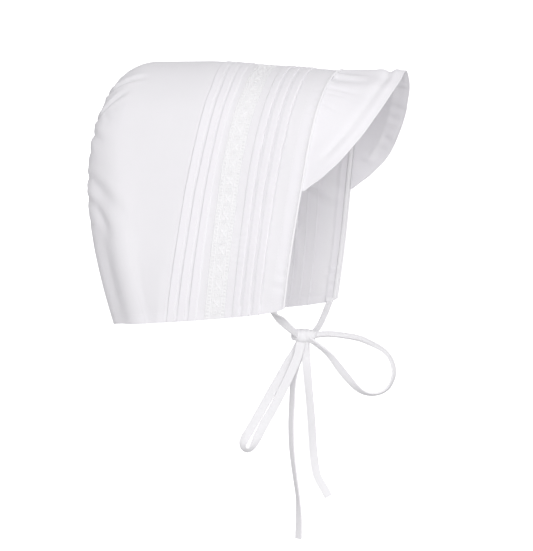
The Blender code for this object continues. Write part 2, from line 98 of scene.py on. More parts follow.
# Cloth, as it shows
CLOTH = 0.00035   # thickness of one layer with its weave
TUCK_HEIGHT = 0.00095   # how far a tuck's fold stands off the cloth beneath
HEM_WIDTH = 0.0055   # turned up inside, along the neck
HEM_LAYERS = 0.00045   # what the turned cloth adds to the thickness
FACING_WIDTH = 0.0075   # turned in behind the piping
FOLD_EDGE = 0.0002   # over which a turned layer's thickness ends
PIPED_SHARE = 0.3   # of the cord's diameter, by which the cloth beside it is lifted and moved back
SEAM_RISE = 0.0010   # how far from the cord that lift reaches
KNOT_RISE = 0.0010   # of the knot above the middle of the bow
BRIM_THICK = 0.0009
BRIM_ROLL = 0.0014   # width of the pressed edge of the brim
ARCH_STEPS = 330   # stations over the crown
BRIM_STEPS = 230
STRAP_STEP = 0.0009
SQUEEZE = 1.6   # how much thicker a strap gets where it is pulled narrow


def in_units(rows, *units):
    """A table written in whole numbers, of which units make one."""
    return [tuple(value / unit for value, unit in zip(row, units)) for row in rows]


ARCH = in_units((
    # drop, half width
    (0, 0), (8, 165), (22, 285), (43, 395), (68, 490), (108, 602), (165, 712), (220, 780), (280, 830), (360, 874),
    (440, 900), (520, 924), (620, 958), (730, 990), (830, 1000), (914, 997), (1000, 985),
), 1000, 1000)
BRIM_EDGE = in_units((
    # drop, half width, forward
    (0, 0, 1000), (22, 95, 998), (83, 207, 987), (160, 344, 951), (250, 464, 896), (335, 580, 843), (417, 673, 781),
    (490, 742, 723), (572, 822, 649), (637, 890, 582), (702, 942, 511), (774, 974, 419), (830, 988, 326),
    (890, 995, 226), (950, 998, 100), (1000, 1000, 0),
), 1000, 1000, 1000)
NAPE = in_units((
    # drop, tuck
    (0, 300), (80, 220), (180, 90), (280, 10), (400, 0), (520, 70), (640, 220), (760, 420), (880, 660), (1000, 920),
), 1000, 1000)
STRAND_UNITS = 1000, 1000, 10, 1, 100
REAR_LOOP = in_units((
    # along, drop, layer, twist, width
    (-134, 143, -6, -86, 100), (-224, 222, -7, -86, 100), (-353, 355, -5, -84, 100), (-533, 540, 2, -84, 100),
    (-700, 716, 8, -86, 100), (-820, 836, 12, -88, 100), (-888, 905, 14, -74, 100), (-905, 950, 14, -50, 100),
    (-880, 985, 12, -36, 100), (-830, 996, 9, -32, 100), (-775, 975, 6, -38, 100), (-725, 928, 4, -58, 100),
    (-669, 860, 4, -82, 100), (-600, 780, 5, -88, 100), (-447, 620, 7, -88, 100), (-320, 475, 10, -88, 100),
    (-205, 330, 13, -88, 100), (-120, 215, 15, -88, 100), (-72, 130, 16, -88, 100),
), *STRAND_UNITS)
FRONT_LOOP = in_units((
    # along, drop, layer, twist, width
    (150, -35, -22, 62, 60), (260, -50, -24, 62, 62), (400, -30, -26, 60, 64), (590, 25, -24, 52, 62),
    (720, 110, -20, 34, 62), (850, 225, -14, 20, 70), (925, 360, -8, 24, 80), (960, 520, -2, 28, 86),
    (960, 670, 4, 28, 86), (915, 840, 9, 22, 86), (845, 935, 13, 18, 86), (750, 975, 16, 18, 88),
    (650, 950, 19, 26, 92), (560, 855, 22, 42, 96), (480, 715, 25, 56, 100), (390, 540, 27, 60, 100),
    (300, 350, 28, 52, 90), (215, 210, 28, 36, 80),
), *STRAND_UNITS)
FRONT_TAIL = in_units((
    # along, drop, layer, twist, width
    (20, 40, 4, -50, 60), (18, 110, 6, -20, 85), (18, 160, 9, 10, 98), (30, 300, 14, 27, 100), (41, 420, 17, 29, 100),
    (50, 540, 18, 28, 100), (57, 660, 18, 23, 96), (66, 760, 17, 12, 92), (85, 860, 15, 0, 90),
    (128, 940, 13, -8, 92), (156, 990, 12, -10, 94),
), *STRAND_UNITS)
REAR_TAIL = in_units((
    # along, drop, layer, twist, width
    (-12, 70, -36, 30, 85), (-36, 150, -48, 46, 95), (-50, 230, -54, 54, 100), (-56, 330, -56, 54, 100),
    (-60, 430, -56, 56, 100), (-58, 530, -54, 58, 100), (-50, 620, -52, 62, 100), (-38, 710, -52, 65, 100),
    (-26, 800, -54, 66, 100), (-22, 900, -56, 52, 100), (-24, 1000, -58, 46, 100),
), *STRAND_UNITS)
STRANDS = {
    # strand: (its table, its reach along the bow and its drop, its places in the knot before and after the table)
    "loop_rear": (REAR_LOOP, 0.0400, 0.0680, [(-0.10, 0.30, -0.4)], [(-0.10, 0.16, 1.3)]),
    "loop_front": (FRONT_LOOP, 0.0560, 0.0350, [(0.22, -0.05, -1.8)], [(0.22, 0.12, 2.2)]),
    "tail_front": (FRONT_TAIL, 0.0965, 0.0965, [(0.04, 0.10, 0.9)], []),
    "tail_rear": (REAR_TAIL, 0.1220, 0.1220, [(-0.05, 0.10, -2.8)], []),
}
RIGHT_STRAP = in_units((
    # share of the way, sag, twist, width
    (0, 0, 20, 90), (12, 10, 6, 95), (28, 20, -34, 92), (46, 20, -66, 90), (66, 15, -84, 88), (86, 5, -92, 86),
    (100, 0, -92, 82),
), 100, 100, 1, 100)
LEFT_STRAP = in_units((
    # share of the way, sag, twist, width
    (0, 0, -22, 72), (12, 30, -28, 72), (30, 75, -34, 70), (55, 100, -36, 68), (80, 60, -32, 68), (100, 0, -26, 66),
), 100, 100, 1, 100)
TIE_ENDS = {
    # tie: (its table, its side, how far forward it starts, how far forward and up it meets the knot)
    "strap_right": (RIGHT_STRAP, -1, 0.0, -0.0030, 0.0018),
    "strap_left": (LEFT_STRAP, 1, 0.0026, 0.0045, 0.0016),
}

# A tuck's section from its sewn root over the fold and back under it, as shares of its width and height
TUCK_SECTION = in_units((
    # along, height
    (-310, 0), (-260, 50), (-210, 200), (-160, 420), (-100, 600), (-20, 720), (120, 800), (320, 860), (550, 920),
    (750, 970), (880, 1000), (950, 980), (1000, 900), (1030, 740), (1035, 540), (1020, 340), (1000, 160), (1000, 0),
    (1030, -160), (1090, -300), (1180, -320), (1280, -200), (1380, 0),
), 1000, 1000)

# How far the sewn lines stray backwards from even distances
DRIFT = in_units((
    # length from the ridge in millimetres, and in tenths of one: front tucks, lace, rear tucks
    (0, 22, 10, 6), (20, 16, 2, -8), (40, 6, -4, -26), (55, 6, 6, -24), (72, 8, 14, -18), (85, 14, 18, -9),
    (100, 16, 14, 1), (125, 7, 2, 1), (150, 2, -8, 6), (170, 0, -10, 8),
), 1000, 10000, 10000, 10000)

HALF_WIDTH = CHEEK_WIDTH / 2
FACE_TOP = -HEAD_SETBACK
NECK_FACE_Z = WALL - RIDGE_RISE - FACE_HEIGHT
LAST_TUCK = BACK_TUCKS_START + TUCKS_IN_GROUP * TUCK_PITCH
REAR_LENGTH = BACK_SETBACK - FACE_TOP - LAST_TUCK
TURN_START = LAST_TUCK + REAR_LENGTH
CROWN_LENGTH = TURN_START + BACK_TURN * BACK_ANGLE


def table_curve(rows):
    """A function that reads a table's second column on the smooth curve through its rows."""
    x, y = np.array(rows).T
    k = np.arange(len(x))
    before, after = np.maximum(k - 1, 0), np.minimum(k + 1, k[-1])
    slope = ((y[after] - y[before]) / (x[after] - x[before]))[:, None]
    x, y = x[:, None], y[:, None]
    span = x[1:] - x[:-1]
    s = np.linspace(0.0, 1.0, 40)
    xs = x[:-1] + span * s
    ys = (y[:-1] * (1 + 2 * s) * (1 - s) ** 2 + slope[:-1] * span * s * (1 - s) ** 2
          + y[1:] * s * s * (3 - 2 * s) - slope[1:] * span * s * s * (1 - s))
    return lambda at: np.interp(at, xs.ravel(), ys.ravel())


def through(points, steps=CURVE_STEPS):
    """A smooth curve through points, with a number of steps between each two."""
    points = np.asarray(points, float)
    padded = np.concatenate((points[:1], points, points[-1:]))[:, None]
    a, b, c, d = (padded[k:len(points) - 1 + k] for k in range(4))
    s = (np.arange(steps) / steps)[:, None]
    curve = 0.5 * (2 * b + (c - a) * s + (2 * a - 5 * b + 4 * c - d) * s ** 2 + (3 * b - 3 * c + d - a) * s ** 3)
    return np.vstack((curve.reshape(-1, points.shape[1]), points[-1:]))


def lengths_along(points):
    """How far along a curve each of its points lies."""
    return np.concatenate(([0.0], np.cumsum(np.linalg.norm(np.diff(points, axis=0), axis=1))))


def read_at(places, lengths, rows):
    """Rows of numbers, which lie at lengths, read at places between them."""
    return np.stack([np.interp(places, lengths, column) for column in rows.T], -1)


def evenly(curve, count, dimensions=3):
    """The same curve cut into a number of equal lengths, measured over its first dimensions."""
    lengths = lengths_along(curve[:, :dimensions])
    return read_at(np.linspace(0.0, lengths[-1], count + 1), lengths, curve)


def unit(vectors):
    return vectors / np.maximum(np.linalg.norm(vectors, axis=-1, keepdims=True), 1e-12)


def full_turn(count):
    """Even angles all round."""
    return np.linspace(0, 2 * pi, count, endpoint=False)


def bell(x):
    """1 at 0 and next to nothing beyond 2, on both sides."""
    return np.exp(-x ** 2)


def step_up(x, low, high):
    """0 below low, 1 above high and a smooth step between."""
    s = np.clip((x - low) / (high - low), 0.0, 1.0)
    return s * s * (3 - 2 * s)


def cloth_noise(x, y, scale, seed):
    """Smooth noise of about -1 to 1, with bumps as long as scale."""
    size = 64
    values = np.random.default_rng(seed).uniform(-1.0, 1.0, (size, size))
    x, y = np.broadcast_arrays(x / scale, y / scale)
    i, j = np.floor(x).astype(int), np.floor(y).astype(int)
    s, t = x - i, y - j
    s, t = s * s * (3 - 2 * s), t * t * (3 - 2 * t)
    corners = [values[(i + a) % size, (j + b) % size] for a in (0, 1) for b in (0, 1)]
    return (corners[0] * (1 - s) * (1 - t) + corners[1] * (1 - s) * t
            + corners[2] * s * (1 - t) + corners[3] * s * t)


def mirrored(half):
    """A line of points from the right side to the middle, and on to the left."""
    return half + [(-x, *rest) for x, *rest in reversed(half[:-1])]


def arch_stations(count):
    """Stations of the face arch, right lower edge to left, as width share, drop share and length from the ridge."""
    right = [(-width * HALF_WIDTH, drop * FACE_HEIGHT) for drop, width in reversed(ARCH)]
    arch = evenly(through(mirrored(right)), count, 2)
    arc = lengths_along(arch)
    return arch[:, 0] / HALF_WIDTH, arch[:, 1] / FACE_HEIGHT, arc - arc[-1] / 2


WIDTHS, DROPS, ARC = arch_stations(ARCH_STEPS)
arch_width = table_curve(ARCH)
nape = table_curve(NAPE)


def turn_y(drop):
    """Where the crown begins to turn round to the back."""
    return BACK_SETBACK - NAPE_TUCK * nape(drop)


def ridge_z(y):
    share = np.clip((y - FACE_TOP) / HEAD_SETBACK, 0.0, 1.0)
    return WALL - RIDGE_RISE * (1 - share) ** RIDGE_ROUND


def neck_z(y):
    face_foot = FACE_TOP + FACE_LEAN
    back_foot = BACK_SETBACK + BACK_TURN - NAPE_TUCK
    share = np.clip((y - face_foot) / (back_foot - face_foot), 0.0, 1.0)
    return NECK_FACE_Z - NECK_FALL * share ** NECK_ROUND


def crown(back):
    """The crown's outside over all stations, at rows of distances back from the face edge along the cloth."""
    start = FACE_TOP + FACE_LEAN * DROPS + LAST_TUCK
    share = (back - LAST_TUCK) / REAR_LENGTH
    angle = np.clip((back - TURN_START) / BACK_TURN, 0.0, pi / 2)
    y = np.where(share < 0, start + back - LAST_TUCK, start + (turn_y(DROPS) - start) * np.minimum(share, 1))
    y = y + BACK_TURN * np.sin(angle)
    inset = BACK_TURN * (1 - np.cos(angle))
    top = ridge_z(np.minimum(y, BACK_SETBACK)) - inset
    x = WIDTHS * (HALF_WIDTH - inset)
    return np.stack((x, y, top + (neck_z(y) - top) * DROPS), -1)


def skin(back):
    """Points of the crown's outside and its outward directions there, with the sewn lines' drift."""
    back = back[:, None] + drift(back[:, None])
    reach = 0.0004
    points = crown(back)
    ahead = crown(back + reach) - crown(back - reach)
    return points, unit(np.cross(np.gradient(points, axis=1), ahead))


def drift(back):
    """How far back the cloth lies off its even place."""
    lines = [np.interp(np.abs(ARC), [row[0] for row in DRIFT], [row[k] for row in DRIFT]) for k in (1, 2, 3)]
    front, lace, rear = FRONT_TUCKS_START + TUCK_PITCH, LACE_START + LACE_WIDTH / 2, BACK_TUCKS_START + TUCK_PITCH
    part = step_up(back, front, lace)
    ahead = lines[0] * step_up(back, 0.0, front) * (1 - part) + lines[1] * part * (1 - step_up(back, lace, rear))
    return ahead + lines[2] * step_up(back, lace, rear) * (1 - step_up(back, rear + TUCK_PITCH, TURN_START))


def add_object(name, data):
    """A new object in the scene."""
    thing = bpy.data.objects.new(name, data)
    bpy.context.scene.collection.objects.link(thing)
    return thing


def add_mesh(name, node, vertices, faces, material, uvs, sharp=50):
    """A smooth-shaded piece in place of a node, if any. The weave is laid out by uvs, in metres of cloth."""
    mesh = bpy.data.meshes.new(name)
    mesh.from_pydata(np.asarray(vertices).tolist(), [], [tuple(face) for face in faces])
    mesh.validate()
    layer = mesh.uv_layers.new(name="cloth")
    corners = np.empty(len(mesh.loops), int)
    mesh.loops.foreach_get("vertex_index", corners)
    layer.data.foreach_set("uv", np.asarray(uvs)[corners].ravel())
    mesh.shade_smooth()
    mesh.set_sharp_from_angle(angle=radians(sharp))
    mesh.materials.append(material)
    piece = add_object(name, mesh)
    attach(piece, "root")
    if node:
        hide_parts(node)
    return piece


def tube_quads(rings, sides, flipped=False):
    """Quads of a tube of rings, each of sides vertices."""
    i = np.arange(rings - 1)[:, None] * sides
    k = np.arange(sides)
    after = (k + 1) % sides
    quads = np.stack((i + k, i + k + sides, i + after + sides, i + after), -1).reshape(-1, 4)
    return quads[:, (0, 3, 2, 1)] if flipped else quads


def capped_tube(rings, sides, flipped=False):
    """Faces of such a tube, closed at both ends."""
    caps = [tuple(range(sides)), tuple(range(rings * sides - 1, (rings - 1) * sides - 1, -1))]
    return tube_quads(rings, sides, flipped).tolist() + [cap[::-1] if flipped else cap for cap in caps]


def grid_quads(rows, columns, offset=0, flipped=False):
    """Quads of a grid of rows by columns vertices."""
    a = (np.arange(rows - 1)[:, None] * columns + np.arange(columns - 1)).ravel() + offset
    quads = np.stack((a, a + 1, a + columns + 1, a + columns), -1)
    return quads[:, ::-1] if flipped else quads


def closed_shell(name, node, outer, inner, uvs, material, filled=False):
    """A thin closed wall between two grids of points of the same size."""
    rows, columns = outer.shape[:2]
    under = rows * columns
    faces = grid_quads(rows, columns).tolist() + grid_quads(rows, columns, under, True).tolist()
    for j, flip in ((0, False), (columns - 1, True)):
        a = np.arange(rows - 1) * columns + j
        side = np.stack((a, a + columns, a + columns + under, a + under), -1)
        faces += (side[:, ::-1] if flip else side).tolist()
    j = np.arange(columns - 1)
    faces += np.stack((j, j + under, j + under + 1, j + 1), -1).tolist()
    end = (rows - 1) * columns
    if filled:
        last = columns - 1
        for j in range(columns // 2):
            across = (end + j, end + j + 1, end + last - j - 1, end + last - j)
            faces.append(tuple(dict.fromkeys(across)))
            faces.append(tuple(dict.fromkeys(under + a for a in reversed(across))))
        faces.append((end, end + last, under + end + last, under + end))
    else:
        j = j + end
        faces += np.stack((j, j + 1, j + under + 1, j + under), -1).tolist()
    vertices = np.concatenate((outer.reshape(-1, 3), inner.reshape(-1, 3)))
    return add_mesh(name, node, vertices, faces, material, np.concatenate((uvs, uvs)), 85)


def crown_uvs(back):
    """Cloth coordinates of a grid: along the arch, and back from the face edge."""
    back = np.broadcast_to(np.asarray(back).reshape(-1, 1), (len(back), len(ARC)))
    return np.stack((np.broadcast_to(ARC, back.shape), back), -1).reshape(-1, 2)


class Rows(list):
    """The rows of a crown piece: how far back each lies outside, its lift, the same inside, and its ridge there."""

    def __init__(self, start):
        super().__init__([(start, 0.0, start, 0.0)])

    def plain(self, end, spacing):
        start = self[-1][0]
        count = max(1, round((end - start) / spacing))
        self.extend((back, 0.0, back, 0.0) for back in np.linspace(start, end, count + 1)[1:])

    def tucks(self, first, lead, spacing, points_back):
        """A group of tucks from first, each after a plain stretch that ends its lead before it."""
        for k in range(TUCKS_IN_GROUP):
            self.plain(first + k * TUCK_PITCH - lead, spacing)
            self.tuck(first + k * TUCK_PITCH, points_back)

    def tuck(self, near, points_back):
        """One tuck over the stretch from near to near + TUCK_WIDTH, its fold at the end that it points to."""
        section = TUCK_SECTION if points_back else TUCK_SECTION[::-1]
        places = [near + (a if points_back else 1 - a) * TUCK_WIDTH for a, height in section]
        inside = np.linspace(places[0], places[-1], len(section))
        root = near if points_back else near + TUCK_WIDTH
        for place, (a, height), behind in zip(places, section, inside):
            self.append((place, height * TUCK_HEIGHT, behind, bell((behind - root) / 0.0004)))


def hem_share():
    """1 in the turned hem at both lower edges and 0 above it."""
    return 1 - step_up(ARC[-1] - np.abs(ARC), HEM_WIDTH - FOLD_EDGE, HEM_WIDTH + FOLD_EDGE)


def flutter(back):
    """How the tucks' height varies along them: a little everywhere, and pressed flatter over the ridge."""
    uneven = 1 + 0.05 * cloth_noise(back * 0 + ARC, back * 0.4, 0.011, 5)
    return uneven * (0.55 + 0.45 * step_up(np.abs(ARC), 0.012, 0.045))


def on_crown(back, waves, lift):
    """Points of the waved and lifted crown at distances back, and its outward directions there."""
    points, normals = skin(back)
    return points + normals * (waves(back[:, None], ARC) + lift)[..., None], normals


def crown_piece(name, node, rows, waves, facing, material):
    """A piece of the crown from its rows, with its waves, its hem and its facing."""
    outside, lift, inside, ridge = np.array(rows).T.copy()
    outer = on_crown(outside, waves, lift[:, None] * flutter(outside[:, None]))[0]
    depth = CLOTH + HEM_LAYERS * hem_share() + 0.0002 * ridge[:, None]
    depth = depth + HEM_LAYERS * facing * (1 - step_up(inside, FACING_WIDTH - FOLD_EDGE, FACING_WIDTH))[:, None]
    inner = on_crown(inside, waves, -depth)[0]
    return closed_shell(name, node, outer, inner, crown_uvs(outside), material)


# Creases in the crown's cloth as the photograph shows them, and like ones on the side that it hides, in millimetres
CREASES = (
    # back and arc at one end, the same at the other end, half width, depth
    (160, -19, 139, -34, 1.5, 1.8), (142, -34, 116, -30.5, 1.8, 1.3), (160, -43, 142.5, -50.5, 1.5, 1.9),
    (144, -51, 124, -41, 1.8, 1.2), (138, -52, 130.5, -60, 1.6, 0.4), (160, -52, 149, -57, 1.6, 1.2),
    (151, -56.5, 133, -71, 2.4, 1), (160, -63, 148, -68, 1.8, 0.6), (160, -77, 146, -86, 2, 0.9),
    (147, -85, 118, -112, 3.4, 0.9), (160, -90, 141, -104, 2.2, 0.8), (143, -104, 130, -122, 3, 0.6),
    (160, -104, 148, -113, 1.8, 0.5), (160, -30, 150, -37, 1.3, 0.6), (160, -8, 136, -14, 1.6, 0.7),
    (160, 4, 141, 8, 1.6, 0.8), (160, 17, 132, 29, 1.8, 1), (160, 31, 146, 38, 1.4, 0.7),
    (160, 44, 128, 55, 1.9, 1.1), (160, 58, 143, 66, 1.6, 0.7), (160, 73, 134, 92, 2.2, 0.8),
    (160, 89, 146, 99, 1.8, 0.6), (160, 104, 138, 122, 2.4, 0.7), (27.5, -124, 37.5, -124.5, 0.9, 0.22),
    (27, -127.5, 37, -127.8, 0.9, 0.26), (26.5, -131, 37.5, -131.2, 0.9, 0.24), (26, -135, 36.5, -135.5, 0.9, 0.26),
    (26.5, -139.5, 36, -140, 0.9, 0.2), (27, -144, 35, -144.5, 1, 0.18), (27, 118, 37, 118.5, 0.9, 0.22),
    (27, 123, 36.5, 123, 0.9, 0.24), (27, 128.5, 36, 128, 0.9, 0.2), (0, -36, 9, -37.5, 1.2, 0.16),
    (0, -52, 8, -53, 1.2, 0.14), (0, -150, 10, -146, 1.6, 0.3), (0, -158, 11, -152, 1.6, 0.3),
    (0, 150, 10, 146, 1.6, 0.3), (0, 158, 11, 152, 1.6, 0.3), (27, 96, 3, 108, 2.8, 1.1),
    (34, 118, 26, 150, 2.6, 0.4),
)

# Broad hollows and swells in the same cloth, in millimetres
HOLLOWS = (
    # back, arc, half size back, half size round the arch, depth
    (140, -144, 9, 34, 3.2), (137, -106, 8, 16, 1.2), (123, -138, 11, 30, -1.8), (120, -96, 11, 20, -0.8),
    (140, -62, 7, 12, -0.6), (100, -36, 22, 10, 0.4), (137, 132, 10, 34, 1.3), (112, 96, 14, 20, 0.5),
    (100, 40, 20, 14, 0.5), (32, -134, 5, 16, 0.4), (9, -146, 10, 12, -0.7),
)


def valley(across):
    """A crease's section: a soft valley between two low banks."""
    return bell(across) - 0.4 * bell((np.abs(across) - 1.9) / 0.9)


def creased(back, arc):
    """How far the creases and hollows lift the cloth."""
    back, arc = back * 1000, arc * 1000
    wave = 0.0 * (back + arc)
    for back0, arc0, back1, arc1, width, depth in CREASES:
        run = np.hypot(back1 - back0, arc1 - arc0)
        ahead, aside = (back1 - back0) / run, (arc1 - arc0) / run
        along = ((back - back0) * ahead + (arc - arc0) * aside) / run
        across = ((arc - arc0) * ahead - (back - back0) * aside) / (width * (0.8 + 0.4 * np.clip(along, 0, 1)))
        start = 1.0 if back0 > 159 or back0 < 1 else step_up(along, -0.15, 0.2)
        fade = start * (1 - step_up(along, 0.55, 1.15)) * step_up(along, -0.3, -0.05)
        fade = fade * (1 - 0.5 * bell((CROWN_LENGTH * 1000 - back) / 3.0))
        wave = wave - depth * fade * valley(across)
    for back0, arc0, deep, wide, depth in HOLLOWS:
        wave = wave - depth * np.exp(-((back - back0) / deep) ** 2 - ((arc - arc0) / wide) ** 2)
    return wave / 1000


def soft_waves(back, arc):
    """The cloth's slack: broad low waves over the whole crown, and its creases."""
    broad = cloth_noise(arc, back, 0.030, 11) * 0.00035 + cloth_noise(arc * 1.4, back * 0.5, 0.014, 12) * 0.00012
    rise = PIPING_DIAMETER * PIPED_SHARE * bell(back / SEAM_RISE)
    return broad * step_up(np.abs(arc), 0.01, 0.05) + creased(back, arc) + rise


def crown_layer(name, node, backs, depth, thick, material):
    """A layer of cloth that lies some way under the crown's outside."""
    outer, inner = (on_crown(backs, soft_waves, -below)[0] for below in (depth, depth + thick))
    return closed_shell(name, node, outer, inner, crown_uvs(backs), material)


def make_front_band(material):
    rows = Rows(PIPING_DIAMETER * PIPED_SHARE)
    rows.tucks(FRONT_TUCKS_START + TUCK_WIDTH * 0.06, TUCK_WIDTH * 0.41, 0.0008, False)
    rows.plain(LACE_START, 0.0008)
    piece = crown_piece("front_band_cloth", "front_band", rows, soft_waves, 1.0, material)


def make_crown_rear(material):
    rows = Rows(LACE_START + LACE_WIDTH)
    rows.tucks(BACK_TUCKS_START - TUCK_WIDTH * 1.25, TUCK_WIDTH * 0.34, 0.0009, True)
    rows.plain(TURN_START, 0.0015)
    rows.plain(CROWN_LENGTH, 0.0011)

    def waves(back, arc):
        gather = step_up(back, CROWN_LENGTH - 0.018, CROWN_LENGTH) * (1 - step_up(np.abs(arc), 0.06, 0.11))
        folds = np.sin(arc / 0.0036 * 2 * pi + 2.5 * cloth_noise(arc, back * 0, 0.012, 21))
        return soft_waves(back, arc) + 0.00028 * gather * (folds - 0.6)
    piece = crown_piece("crown_rear_cloth", "crown_rear", rows, waves, 0.0, material)


SEAM_LAP = 0.0004   # how far the back's edge runs under the crown's, which closes the seam


def make_back(material):
    """The flat back inside its horseshoe seam."""
    share = np.concatenate((np.linspace(0.0, 0.10, 14), np.linspace(0.12, 0.975, 46)))[:, None]
    inset = BACK_TURN * (1 - cos(BACK_ANGLE)) - SEAM_LAP
    rim_y = turn_y(DROPS) + BACK_TURN * sin(BACK_ANGLE)
    drop = DROPS * (1 - share) + share
    y = turn_y(drop) + BACK_TURN * sin(BACK_ANGLE) + BACK_DOME * (1 - (1 - share) ** 2)
    x = WIDTHS * (HALF_WIDTH - inset) * (1 - share)
    top = WALL - inset
    z = top + (neck_z(rim_y) - top) * drop
    points = np.stack((x, y, z), -1)
    normals = unit(np.cross(np.gradient(points, axis=1), np.gradient(points, axis=0)))
    normals[-2:] = normals[-3]
    wave = cloth_noise(x, z, 0.022, 31) * 0.0003
    seam = bell(share / 0.03) * 0.0002
    outer = points + normals * (wave - seam)[..., None]
    inner = points + normals * (wave - CLOTH - HEM_LAYERS * np.exp(-(share / 0.05) ** 8))[..., None]
    uvs = np.stack((x, z), -1).reshape(-1, 2)
    piece = closed_shell("back_panel_cloth", "back_panel", outer, inner, uvs, material, filled=True)


def brim_lines():
    """The brim's seam and its outer edge, at even stations from the right corner over the tip to the left."""
    corner = BRIM_DROP / FACE_HEIGHT
    corner_width = float(arch_width(corner)) * HALF_WIDTH
    corner_y = FACE_TOP + FACE_LEAN * corner - BRIM_CORNER
    tip_y = FACE_TOP - BRIM_DEPTH
    top = float(ridge_z(np.array(FACE_TOP)))
    root = [(-corner_width, FACE_TOP + FACE_LEAN * corner, top - BRIM_DROP)]
    root += [(-width * HALF_WIDTH, FACE_TOP + FACE_LEAN * drop, top - drop * FACE_HEIGHT)
             for drop, width in reversed(ARCH) if drop < corner]
    edge = [(-width * corner_width, corner_y + (tip_y - corner_y) * forward, top - drop * BRIM_DROP)
            for drop, width, forward in reversed(BRIM_EDGE)]
    return [evenly(through(mirrored(half)), BRIM_STEPS) for half in (root, edge)]


# Creases in the brim, from near its seam towards its edge
BRIM_CREASES = in_units((
    # length round the rim and depth share at one end, the same at the other, half width, depth
    (-300, 100, -280, 45, 13, 32), (-335, 100, -320, 60, 11, 28), (-407, 100, -430, 58, 13, 32),
    (-450, 100, -500, 72, 11, 16), (-190, 100, -150, 25, 34, 110), (-80, 95, -110, 5, 34, 90),
    (60, 95, 100, 30, 36, 70), (260, 100, 250, 50, 12, 45), (350, 100, 370, 60, 12, 40), (440, 100, 460, 66, 12, 35),
), 10000, 100, 10000, 100, 10000, 100000)


def brim_creased(arc, share):
    """How far the brim's creases lift its cloth."""
    wave = 0.0 * (arc + share)
    for arc0, share0, arc1, share1, width, depth in BRIM_CREASES:
        along = (share - share0) / (share1 - share0)
        across = (arc - arc0 - (arc1 - arc0) * along) / width
        fade = step_up(along, -0.3, 0.1) * (1 - step_up(along, 0.5, 1.1))
        wave = wave - depth * fade * valley(across)
    return wave


def make_brim(material):
    root, edge = brim_lines()
    root = root + unit(edge - root) * PIPING_DIAMETER * PIPED_SHARE
    depth = np.linalg.norm(edge - root, axis=1)
    near_rim = np.array((0.0, 0.03, 0.1, 0.22, 0.4, 0.65, 1.0, 1.4, 1.8, 2.3, 3.0)) / 1000
    share = np.concatenate((near_rim, np.linspace(0.003, BRIM_DEPTH, 42)[1:]))[:, None] / BRIM_DEPTH
    from_rim = share * depth
    points = edge + (root - edge) * share[..., None]
    normals = unit(np.cross(np.gradient(points, axis=1), (root - edge) + np.zeros_like(points)))
    arc = np.linspace(-1.0, 1.0, BRIM_STEPS + 1) * 0.0900
    half = BRIM_THICK / 2
    round_edge = np.sqrt(np.clip(1 - (1 - np.minimum(from_rim / half, 1)) ** 2, 0, 1)) * half
    groove = bell((from_rim - BRIM_ROLL) / 0.0004)
    fold = bell((from_rim - 0.0030) / 0.0005)
    from_trough = from_rim - (0.0095 + 0.0008 * np.sin(arc / 0.021))
    trough = bell(from_trough / 0.0019)
    trough = trough - 0.45 * bell((from_trough + 0.0042) / 0.0017) - 0.35 * bell((from_trough - 0.0052) / 0.0028)
    trough *= step_up(depth, 0.014, 0.026) * (0.75 + 0.25 * np.cos(arc / 0.013))
    slack = cloth_noise(arc, from_rim, 0.016, 41) * 0.0002 * step_up(from_rim, 0.002, 0.008)
    slack = slack + brim_creased(arc, from_rim / np.maximum(depth, 0.001))
    upper = -half + round_edge - 0.00014 * groove - 0.00010 * fold - 0.0013 * trough + slack
    puckers = cloth_noise(arc * 1.9, from_rim * 0.35, 0.007, 43) * 0.0007
    puckers *= bell((from_rim - 0.0075) / 0.0045)
    upper = upper + PIPING_DIAMETER * 0.25 * bell((depth - from_rim) / SEAM_RISE)
    lower = -half - round_edge + 0.00018 * groove + puckers + np.minimum(slack, 0.0) - 0.0006 * trough
    lower = np.minimum(lower, upper - np.minimum(2 * half, 0.0006) * np.minimum(from_rim / half, 1))
    outer = points + normals * upper[..., None]
    inner = points + normals * lower[..., None]
    uvs = np.stack((np.broadcast_to(arc, share.shape[:1] + arc.shape), from_rim), -1).reshape(-1, 2)
    piece = closed_shell("brim_cloth", "brim", outer, inner, uvs, material)


def sweep(path, radius, sides, side_hint=(0.0, 1.0, 0.0)):
    """Vertices and quads of a round rope along a path. The radius may vary along it."""
    along = unit(np.gradient(path, axis=0))
    side = unit(np.cross(along, np.asarray(side_hint)))
    other = np.cross(along, side)
    radius = np.broadcast_to(radius, (len(path),))
    angles = full_turn(sides)
    ring = side[:, None] * np.cos(angles)[None, :, None] + other[:, None] * np.sin(angles)[None, :, None]
    vertices = (path[:, None] + ring * radius[:, None, None]).reshape(-1, 3)
    return vertices, tube_quads(len(path), sides, True)


def make_piping(material):
    sides = 10
    line = crown(np.zeros((1, 1)))[0]
    inward = unit(np.stack((-line[:, 0], line[:, 0] * 0, NECK_FACE_Z / 2 - line[:, 2]), -1))
    path = through((line - inward * WALL * 0.25)[::3], 4)
    arc = np.linspace(0, len(path) * 0.0009, len(path))
    radius = PIPING_DIAMETER / 2 * (1 + 0.03 * np.sin(arc / 0.0021 * 2 * pi))
    vertices = sweep(path, radius, sides)[0]
    uvs = np.stack((np.repeat(arc, sides), np.tile(np.linspace(0, 0.004, sides), len(path))), -1)
    add_mesh("piping_cord", "piping", vertices, capped_tube(len(path), sides, True), material, uvs)


BINDING_WIDTH = 0.0028
BINDING_THICK = 0.0009


def make_binding(material):
    """The narrow strip sewn over the raw seam inside the face edge."""
    shares = np.linspace(0.0, 1.0, 9)
    backs = shares * BINDING_WIDTH
    bulge = BINDING_THICK * np.sqrt(np.clip(1 - (2 * shares - 1) ** 4, 0.02, 1))[:, None]
    crown_layer("seam_binding", None, backs, CLOTH + HEM_LAYERS, bulge, material)


